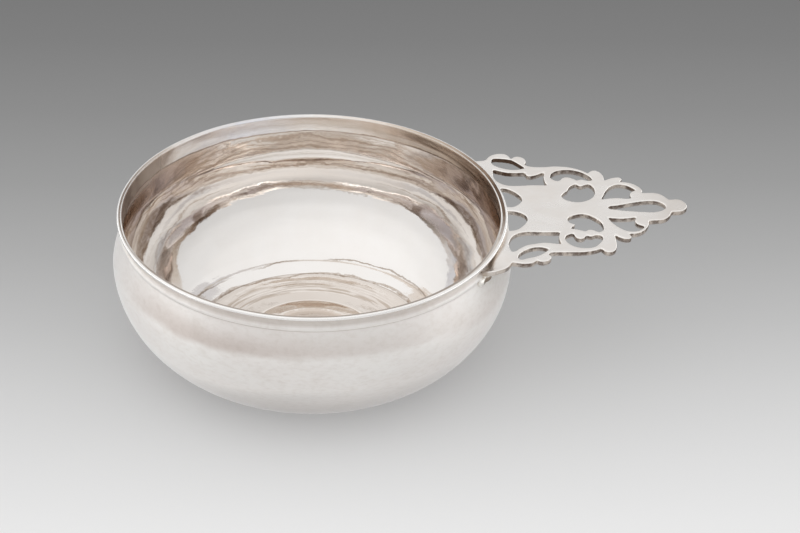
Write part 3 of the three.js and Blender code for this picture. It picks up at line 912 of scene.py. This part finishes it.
HOLES = [
    # Eyes beside the neck
    [[(65.4, 31.4), (66.2, 33.6), (69, 33.7)],
     [(72.8, 32.7), (74.2, 31.1), (75.6, 29.2)],
     [(76.8, 27.2), (74, 26.1), (71, 26.3), (68.2, 27.7), (66, 29.8)]],
    [[(67, -31.4), (67.6, -32.8), (70, -32.2)],
     [(72.6, -31.2), (75.4, -29.4)],
     [(78.4, -26.5), (75.5, -25.2), (72.5, -25.7), (70, -27.2), (67.8, -29.4)]],
    # Long openings beside the middle of the plate
    [[(65.4, 26.4), (67.6, 25.1), (70, 24.1), (73.4, 23.8)],
     [(76.4, 23.9), (77.2, 21.7), (79, 21.8), (81.2, 23)],
     [(83.5, 24.4), (82.7, 21.4), (82.6, 18.4)],
     [(83.2, 15.3), (78, 15.5), (72, 15.2), (69, 15.6), (66.5, 17.4), (65.2, 20.2), (65.1, 23.4)]],
    [[(65.4, -27.9), (66.4, -27.7), (68.2, -26), (71, -23.9), (74, -23), (77, -22.4), (80, -22.8)],
     [(83, -23.4), (82.6, -20.8), (82.8, -18)],
     [(83.6, -15.8), (77, -15.6), (70.4, -15.8), (67.4, -17.6), (65.6, -20.8), (64.8, -24.6)]],
    # Half rounds at the neck
    [[(66.9, 1.1)],
     [(66.3, 13.5), (68.5, 13.1), (70.5, 11.5), (72.3, 9), (73.1, 6.6), (72.6, 4.4), (71, 2.3),
      (69.3, 1.1)]],
    [[(66.9, -1.6), (69.8, -2.1), (72.2, -3.8), (73.3, -6.5), (72.8, -8.9), (71.4, -11.2), (69, -13.8)],
     [(66.1, -14.7)]],
    # Crescents
    [[(86.4, 18.1), (85.1, 19.6), (85, 21.6), (86, 23.6), (88, 25), (91.5, 25.6), (95, 24.8),
      (97.6, 22.9), (99.2, 20.8)],
     [(99.9, 18.4), (98, 18), (96, 18.8)],
     [(94, 18.2), (92.8, 19.4), (91, 20.3), (89.4, 19.9), (88, 18.2)]],
    [[(85.3, -18), (84.7, -20), (85, -21.9), (86, -23.6), (88, -25.3), (91, -26), (94, -25.3),
      (96, -23.2), (97.4, -20.6)],
     [(97.6, -18.4), (95.8, -17.9), (93.6, -18.7)],
     [(92.3, -18), (90.6, -20), (89, -19.8), (88.2, -18.2)],
     [(88, -16.6), (86.6, -17.2)]],
    # Cusped openings
    [[(87.2, 8.2), (88, 6), (90, 4.4), (92.5, 3.8), (95, 4.5), (97.5, 6.3), (99, 9), (99.4, 12),
      (98.9, 14.6)],
     [(98, 16), (96.5, 15.4), (95, 14.6)],
     [(93.3, 16.1), (91.6, 14.9), (90.4, 13)],
     [(89.8, 11.4), (88.4, 10)]],
    [[(87.2, -7.3), (88, -5.9), (90, -4.8), (92.5, -4.3), (95, -5), (97, -7), (98.5, -9.5), (98.9, -12),
      (98.3, -15)],
     [(97, -16), (95.5, -15), (94, -14.3)],
     [(92.2, -15.4), (90.8, -14.7), (89, -14)],
     [(87.6, -13.6), (88.2, -12.4), (89.3, -11), (88.4, -10.2), (87.6, -9.4)]],
    # Loops
    [[(100.8, 5.4), (102, 8), (103.5, 11.3), (105.5, 14), (108, 15.4), (110.5, 15.1), (112.6, 13.4)],
     [(114, 11.4), (112.4, 10.5), (111.5, 9)],
     [(111.5, 6.3), (110.3, 5.9), (107, 6.4), (103.6, 6.1)]],
    [[(101.3, -6.5), (104, -7.1), (108, -7.1)],
     [(111.3, -6.5), (110.4, -9), (110.8, -10.6), (112.2, -11.9)],
     [(113.3, -12.4), (112, -14.3), (110, -15.6), (107.5, -15.5), (104.6, -13.3), (102.6, -10.2)]],
    # Teardrop in the terminal
    [[(102.5, 0.1), (106, 1.5), (111, 3), (115, 3.9), (118, 4.2), (121, 3.3), (122.7, 0.7), (122, -1.4),
      (119, -3.1), (115, -3.2), (110, -2.4), (105.6, -1.4)]],
]
# The root's end: its radius inside the neck, and how far it reaches to the far and the near side
ROOT_R = 65.4
ROOT_FAR = 32.4
ROOT_NEAR = 37.3

# The roundness of the plate's edges
EDGE_SOFT = 0.32

# The casting's unevenness: direction, size in metres, and how far it goes in all in millimetres
CASTING_DRIFT = (("Z", 0.011, 0.22), ("X", 0.006, 0.14), ("Y", 0.0055, 0.14))

# The near corner of the root: its place from the bowl's axis, the radius of the sunk spot, how far it
# is sunk, and how far round it the plate follows
CORNER = (54.6, -35.2)
CORNER_SPOT = 0.9
CORNER_SUNK = 2.3
CORNER_REACH = 12.0


def root_arc():
    """The plate's end inside the bowl's neck, from the far corner to the near one."""
    start = math.asin(ROOT_FAR / ROOT_R)
    end = -math.asin(ROOT_NEAR / ROOT_R)
    steps = 24
    angles = [start + (end - start) * step / steps for step in range(steps)]
    return [[(ROOT_R * math.cos(angle), ROOT_R * math.sin(angle)) for angle in angles]]


def draw_loop(curve, strokes):
    """One closed outline: smooth inside each stroke, a corner between strokes."""
    knots = [(point, index == 0 and len(strokes) > 1)
             for stroke in strokes for index, point in enumerate(stroke)]
    spline = curve.splines.new("BEZIER")
    spline.bezier_points.add(len(knots) - 1)
    spline.use_cyclic_u = True
    for (point, corner), knot in zip(knots, spline.bezier_points):
        kind = "VECTOR" if corner else "AUTO"
        knot.co = (*point, 0.0)
        knot.handle_left_type = kind
        knot.handle_right_type = kind


def cut_plate():
    """The pierced plate in its own plan, with its middle at the height of the floor."""
    deselect()
    bpy.ops.curve.primitive_bezier_circle_add(radius=1.0, location=(0.0, 0.0, 0.0))
    plate = bpy.context.object
    curve = plate.data
    curve.splines.clear()
    curve.dimensions = "2D"
    curve.fill_mode = "BOTH"
    curve.resolution_u = 5
    for strokes in [FAR_EDGE + root_arc() + NEAR_EDGE] + HOLES:
        draw_loop(curve, strokes)
    curve.bevel_depth = EDGE_SOFT
    curve.bevel_resolution = 2
    curve.offset = -EDGE_SOFT
    curve.extrude = PLATE / 2.0 - EDGE_SOFT
    only(plate)
    bpy.ops.object.convert(target="MESH")
    plate = bpy.context.object
    bpy.ops.object.mode_set(mode="EDIT")
    bpy.ops.mesh.select_all(action="SELECT")
    bpy.ops.mesh.remove_doubles(threshold=0.01)
    bpy.ops.mesh.normals_make_consistent(inside=False)
    bpy.ops.object.mode_set(mode="OBJECT")
    plate.scale = (MM, MM, MM)
    return settle(plate, "pierced_handle")


def make_handle():
    plate = cut_plate()
    apply_modifier(plate, "REMESH", mode="VOXEL", voxel_size=0.3 * MM, adaptivity=0.0)
    apply_modifier(plate, "SMOOTH", factor=0.5, iterations=4)
    for axis, size, depth in CASTING_DRIFT:
        uneven(plate, "casting_" + axis, axis, size, depth)
    # From its own plan to its place below the lip
    turn = Matrix.Rotation(math.radians(DROOP), 4, "Y")
    middle = Matrix.Translation((0.0, 0.0, -PLATE / 2.0 * MM))
    from_lip = Matrix.Translation((-LIP_R * MM, 0.0, 0.0))
    to_lip = Matrix.Translation(((BOWL_X + LIP_R) * MM, 0.0, PLATE_TOP * MM))
    plate.matrix_world = to_lip @ turn @ middle @ from_lip
    settle(plate, "pierced_handle")
    sink_corner(plate)
    only(plate)
    bpy.ops.object.shade_smooth()
    plate.data.materials.append(handle_silver())
    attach(plate, "root")
    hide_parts("handle")


def sink_corner(plate):
    """The near corner of the root was beaten down onto the bowl's shoulder."""
    corner = Vector(((BOWL_X + CORNER[0]) * MM, CORNER[1] * MM))
    only(plate)
    for vertex in plate.data.vertices:
        vertex.select = (vertex.co.xy - corner).length < CORNER_SPOT * MM
    bpy.ops.object.mode_set(mode="EDIT")
    bpy.ops.mesh.select_mode(type="VERT")
    bpy.ops.transform.translate(
        value=(0.0, 0.0, -CORNER_SUNK * MM), use_proportional_edit=True,
        proportional_edit_falloff="SHARP", proportional_size=CORNER_REACH * MM)
    bpy.ops.object.mode_set(mode="OBJECT")


# Middle of the far opening beside the neck, whose wall is the darkest, and where its tarnish starts
# and is full, all in metres
EYE = (0.0400, 0.0302, 0.0500)
EYE_FADE = (0.0075, 0.0055)

# Silver of the handle, the painted highlight on its edges, its thin and thick tarnish, and the tints of
# its stains and its painted shade
CAST_LIGHT = (0.88, 0.848, 0.818)
CAST_DARK = (0.83, 0.785, 0.745)
CAST_EDGE = (0.98, 0.955, 0.92)
TARNISH_THIN = (0.56, 0.485, 0.42)
TARNISH_THICK = (0.13, 0.085, 0.06)
TIP_TINT = (0.82, 0.80, 0.78)
STRIP_TINT = (0.60, 0.52, 0.45)


def clean_cast(tree, place, parts, broad):
    """The plate's silver, darker toward the tip, with a strip of painted shade beside the bowl's neck."""
    clean = tree.mix(tree.spread(broad, 0.35, 0.65), rgba(CAST_LIGHT), rgba(CAST_DARK))
    clean = stain_and_painted_light(tree, tree.spread(parts["X"], 0.078, 0.099, 0.0, 0.8), clean, TIP_TINT)
    centred = tree.vector("SUBTRACT", place, (BOWL_X * MM, 0.0, 0.0))
    flat = tree.vector("MULTIPLY", centred, (1.0, 1.0, 0.0))
    radius = tree.node("ShaderNodeVectorMath", {0: flat}, operation="LENGTH").outputs["Value"]
    streak = tree.math("MULTIPLY_ADD", broad, 0.0016, radius)
    # Painted shade on the top along the gap beside the bowl's neck
    strip = tree.times(tree.spread(streak, 0.0689, 0.0681), tree.spread(parts["Y"], -0.012, -0.024))
    return stain_and_painted_light(tree, tree.times(strip, 0.85), clean, STRIP_TINT)


def handle_silver():
    material = new_material("handle_cast_silver")
    tree = Tree(material.node_tree)
    place = tree.node("ShaderNodeTexCoord").outputs["Object"]
    parts = tree.node("ShaderNodeSeparateXYZ", {0: place}).outputs
    facing = tree.node("ShaderNodeNewGeometry").outputs["Normal"]
    upright = tree.math("ABSOLUTE", tree.node("ShaderNodeSeparateXYZ", {0: facing}).outputs["Z"])
    broad = tree.noise(place, 90.0, 3.0, 0.6)
    pits = tree.noise(place, 900.0, 3.0, 0.65)
    file_marks = tree.noise(tree.vector("MULTIPLY", place, (260.0, 1500.0, 900.0)), 1.0, 2.0, 0.6)
    clean = clean_cast(tree, place, parts, broad)
    # Tarnish stands on the walls of the openings, thickest just under the top face
    slope = math.tan(math.radians(DROOP))
    top = tree.math("MULTIPLY_ADD", parts["X"], -slope, (PLATE_TOP + (BOWL_X + LIP_R) * slope) * MM)
    depth = tree.math("SUBTRACT", top, parts["Z"])
    wall = tree.times(tree.spread(upright, 0.66, 0.25), tree.spread(pits, 0.35, 0.6, 0.75, 1.0))
    wall = tree.times(wall, tree.spread(depth, 0.0006, 0.0018, 1.0, 0.7))
    eye = tree.node("ShaderNodeVectorMath", {0: place, 1: EYE}, operation="DISTANCE").outputs["Value"]
    wall = tree.math("MULTIPLY_ADD", tree.spread(eye, *EYE_FADE, 0.0, 0.6), wall, wall, clamp=True)
    crust = tree.spread(tree.noise(place, 300.0, 4.0, 0.62), 0.44, 0.56)
    crust = tree.plus(crust, tree.spread(eye, *EYE_FADE), clamp=True)
    tarnish = tree.mix(crust, rgba(TARNISH_THIN), rgba(TARNISH_THICK))
    # Painted highlight along the rims where the top face meets the walls
    edge = tree.times(tree.spread(upright, 0.97, 0.90), tree.spread(upright, 0.60, 0.70))
    clean = tree.mix(tree.times(edge, 0.8), clean, rgba(CAST_EDGE))
    colour = tree.mix(wall, clean, tarnish)
    rough = tree.plus(tree.spread(broad, 0.3, 0.7, 0.24, 0.36), tree.times(wall, 0.12))
    normal = tree.bump(file_marks, 0.00001, tree.bump(pits, 0.00004))
    finish_metal(tree, colour, rough, normal)
    return material


# Solder fillet under the handle's root

# The fillet's reach to each side in degrees, its radius and how much thicker it is under an ear,
# then the ears' place and width and the taper's length in degrees
SEAM_REACH = 35.5
SEAM_R = 0.75
EAR_MORE = 0.45
EAR_AT = 30.0
EAR_WIDTH = 3.2
SEAM_TAPER = 4.0

# The neck's radius where the fillet lies, and the height of the fillet's middle
NECK_R = 65.35
SEAM_Z = PLATE_TOP - PLATE - 0.55

# Where the solder ran down onto the shoulder: degrees, radius, height, and half sizes
WINGS = ((-32.2, 66.2, 47.2, (1.8, 3.1, 2.5)),
         (-35.2, 66.2, 46.6, (1.35, 2.3, 1.8)),
         (30.0, 66.2, 47.4, (1.0, 2.4, 1.9)))


def girth(angle):
    """The fillet's radius at a place round the neck."""
    degrees = math.degrees(abs(angle))
    ear = math.exp(-((degrees - EAR_AT) / EAR_WIDTH) ** 2)
    taper = min(1.0, (SEAM_REACH - degrees) / SEAM_TAPER)
    return (SEAM_R + EAR_MORE * ear) * max(0.18, math.sqrt(max(taper, 0.0)))


def seam_centre(angle):
    reach = NECK_R + girth(angle)
    return ((BOWL_X + reach * math.cos(angle)) * MM, reach * math.sin(angle) * MM, SEAM_Z * MM)


def draw_fillet():
    """A fillet drawn round the neck below the plate, wider where the root's corners end."""
    deselect()
    start = -math.radians(SEAM_REACH)
    steps = 60
    turn = -2.0 * start / steps
    bpy.ops.mesh.primitive_circle_add(
        vertices=12, radius=girth(start) * MM, fill_type="NGON", location=seam_centre(start),
        rotation=(math.radians(90.0), 0.0, start))
    seam = bpy.context.object
    bpy.ops.object.transform_apply(location=True, rotation=True, scale=True)
    bpy.ops.object.mode_set(mode="EDIT")
    bpy.ops.mesh.select_all(action="SELECT")
    for step in range(1, steps + 1):
        angle = start + turn * step
        grow = girth(angle) / girth(angle - turn)
        shift = (girth(angle) - girth(angle - turn)) * MM
        bpy.ops.mesh.extrude_region_move(TRANSFORM_OT_translate={"value": (0.0, 0.0, 0.0)})
        bpy.ops.transform.rotate(value=-turn, orient_axis="Z", center_override=(BOWL_X * MM, 0.0, 0.0))
        bpy.ops.transform.translate(value=(shift * math.cos(angle), shift * math.sin(angle), 0.0))
        bpy.ops.transform.resize(value=(grow, grow, grow), center_override=seam_centre(angle))
    bpy.ops.mesh.select_all(action="SELECT")
    bpy.ops.mesh.normals_make_consistent(inside=False)
    bpy.ops.object.mode_set(mode="OBJECT")
    return settle(seam, "solder_fillet")


def make_wing(degrees, reach, height, size):
    angle = math.radians(degrees)
    deselect()
    bpy.ops.mesh.primitive_uv_sphere_add(
        segments=32, ring_count=16, radius=MM, rotation=(0.0, 0.0, angle),
        location=((BOWL_X + reach * math.cos(angle)) * MM, reach * math.sin(angle) * MM, height * MM))
    wing = bpy.context.object
    wing.scale = size
    return settle(wing, "solder_wing")


def make_seam():
    seam = draw_fillet()
    wings = [make_wing(*wing) for wing in WINGS]
    only(seam)
    for wing in wings:
        wing.select_set(True)
    bpy.ops.object.join()
    apply_modifier(seam, "REMESH", mode="VOXEL", voxel_size=0.22 * MM, adaptivity=0.0)
    uneven(seam, "solder_flow", "NORMAL", 0.0035, 0.5, middle=0.6, levels=2)
    apply_modifier(seam, "SMOOTH", factor=0.5, iterations=3)
    only(seam)
    bpy.ops.object.shade_smooth()
    seam.data.materials.append(solder_metal())
    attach(seam, "root")
    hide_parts("solder_seam")


# Bright and dark patches of the solder
SOLDER_BRIGHT = (0.90, 0.87, 0.82)
SOLDER_DARK = (0.33, 0.26, 0.20)


def solder_metal():
    material = new_material("solder_silver")
    tree = Tree(material.node_tree)
    place = tree.node("ShaderNodeTexCoord").outputs["Object"]
    patches = tree.noise(place, 260.0, 4.0, 0.6)
    grain = tree.noise(place, 1400.0, 2.0, 0.6)
    colour = tree.mix(tree.spread(patches, 0.46, 0.56), rgba(SOLDER_BRIGHT), rgba(SOLDER_DARK))
    rough = tree.spread(patches, 0.3, 0.7, 0.3, 0.48)
    finish_metal(tree, colour, rough, tree.bump(grain, 0.00003))
    return material


place_camera()
make_floor()
make_world()
make_bowl()
make_handle()
make_seam()

# The light is mirrored many times between the walls of the bowl, so it gets more bounces
scene = bpy.context.scene
scene.view_settings.view_transform = "Standard"
scene.cycles.max_bounces = 20
scene.cycles.glossy_bounces = 16
